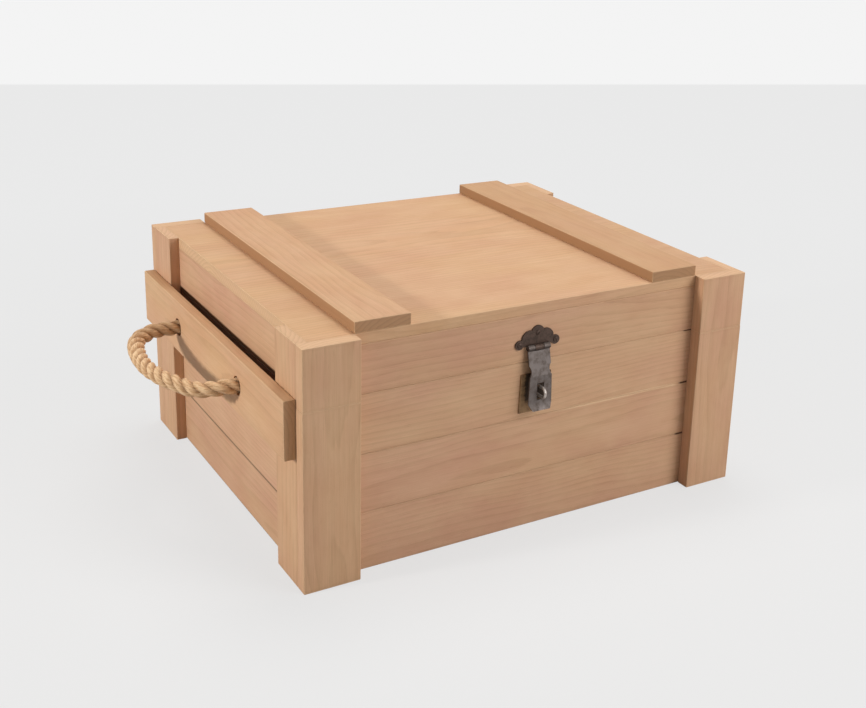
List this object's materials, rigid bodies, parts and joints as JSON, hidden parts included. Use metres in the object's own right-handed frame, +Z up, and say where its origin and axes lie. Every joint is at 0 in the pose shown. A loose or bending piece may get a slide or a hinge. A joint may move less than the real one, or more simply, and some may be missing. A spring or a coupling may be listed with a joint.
{
  "type": "lidded wooden chuck box",
  "caption": "Low square plank chest with a hinged lid, corner posts, lid battens, rope handles on side boards and a front hasp.",
  "frame": {"origin": "Middle of the underside of the box, on the plane it stands on.", "axes": "+X to the right along the front, the longest extent over the rope loops; +Y to the back, where the hinges are; +Z up, the shortest extent."},
  "size_m": [0.524, 0.3493, 0.199],
  "materials": {
    "wall_boards": "raw planed softwood with fine straight grain",
    "post_wood": "raw planed softwood, grain upright, paler end grain",
    "lid_boards": "raw planed softwood",
    "handle_wood": "raw planed softwood",
    "bottom_board": "raw thin board",
    "rope": "three-strand laid plant-fibre rope",
    "hasp_plates": "dark antique bronze, slightly rubbed",
    "hasp_steel": "aged grey steel",
    "hinge_metal": "dark antique bronze",
    "hinge_screws": "dull steel"
  },
  "bodies": {
    "box": {"bottom_panel": "bottom_board", "front_board_lower": "wall_boards", "front_board_middle": "wall_boards", "front_board_upper": "wall_boards", "back_board_lower": "wall_boards", "back_board_middle": "wall_boards", "back_board_upper": "wall_boards", "left_board_lower": "wall_boards", "left_board_middle": "wall_boards", "left_board_upper": "wall_boards", "right_board_lower": "wall_boards", "right_board_middle": "wall_boards", "right_board_upper": "wall_boards", "front_left_post": "post_wood", "front_right_post": "post_wood", "back_left_post": "post_wood", "back_right_post": "post_wood", "left_front_post": "post_wood", "left_back_post": "post_wood", "right_front_post": "post_wood", "right_back_post": "post_wood", "left_handle_board": "handle_wood", "right_handle_board": "handle_wood", "left_rope_knots": "rope", "right_rope_knots": "rope", "hinge_left_body_leaf": "hinge_metal", "hinge_right_body_leaf": "hinge_metal", "hinge_pins": "hinge_metal", "hinge_body_screws": "hinge_screws", "hasp_lower_plate": "hasp_plates", "hasp_staple": "hasp_steel", "hasp_body_screws": "hasp_plates"},
    "lid": {"lid_top_panel": "lid_boards", "lid_front_board": "wall_boards", "lid_back_board": "wall_boards", "lid_left_board": "wall_boards", "lid_right_board": "wall_boards", "lid_front_left_post": "post_wood", "lid_front_right_post": "post_wood", "lid_back_left_post": "post_wood", "lid_back_right_post": "post_wood", "lid_left_front_post": "post_wood", "lid_left_back_post": "post_wood", "lid_right_front_post": "post_wood", "lid_right_back_post": "post_wood", "lid_left_batten": "lid_boards", "lid_right_batten": "lid_boards", "hinge_left_lid_leaf": "hinge_metal", "hinge_right_lid_leaf": "hinge_metal", "hinge_lid_screws": "hinge_screws", "hasp_upper_plate": "hasp_plates", "hasp_pin": "hasp_steel", "hasp_lid_screws": "hasp_plates"},
    "hasp_strap": {"hasp_strap": "hasp_steel"},
    "left_handle": {"left_rope_loop": "rope"},
    "right_handle": {"right_rope_loop": "rope"}
  },
  "joints": [
    {"name": "lid_hinge", "type": "hinge", "parent": "box", "child": "lid", "pos_m": [0, 0.17275, 0.1425], "axis": [-1, 0, 0], "range_deg": [0, 180]},
    {"name": "hasp_hinge", "type": "hinge", "parent": "lid", "child": "hasp_strap", "pos_m": [0, -0.1606, 0.1545], "axis": [-1, 0, 0], "range_deg": [0, 150]},
    {"name": "left_handle_swing", "type": "hinge", "parent": "box", "child": "left_handle", "pos_m": [-0.2154, 0.004, 0.126], "axis": [0, 1, 0], "range_deg": [-80, 85]},
    {"name": "right_handle_swing", "type": "hinge", "parent": "box", "child": "right_handle", "pos_m": [0.2154, 0.004, 0.126], "axis": [0, -1, 0], "range_deg": [-80, 85]}
  ]
}
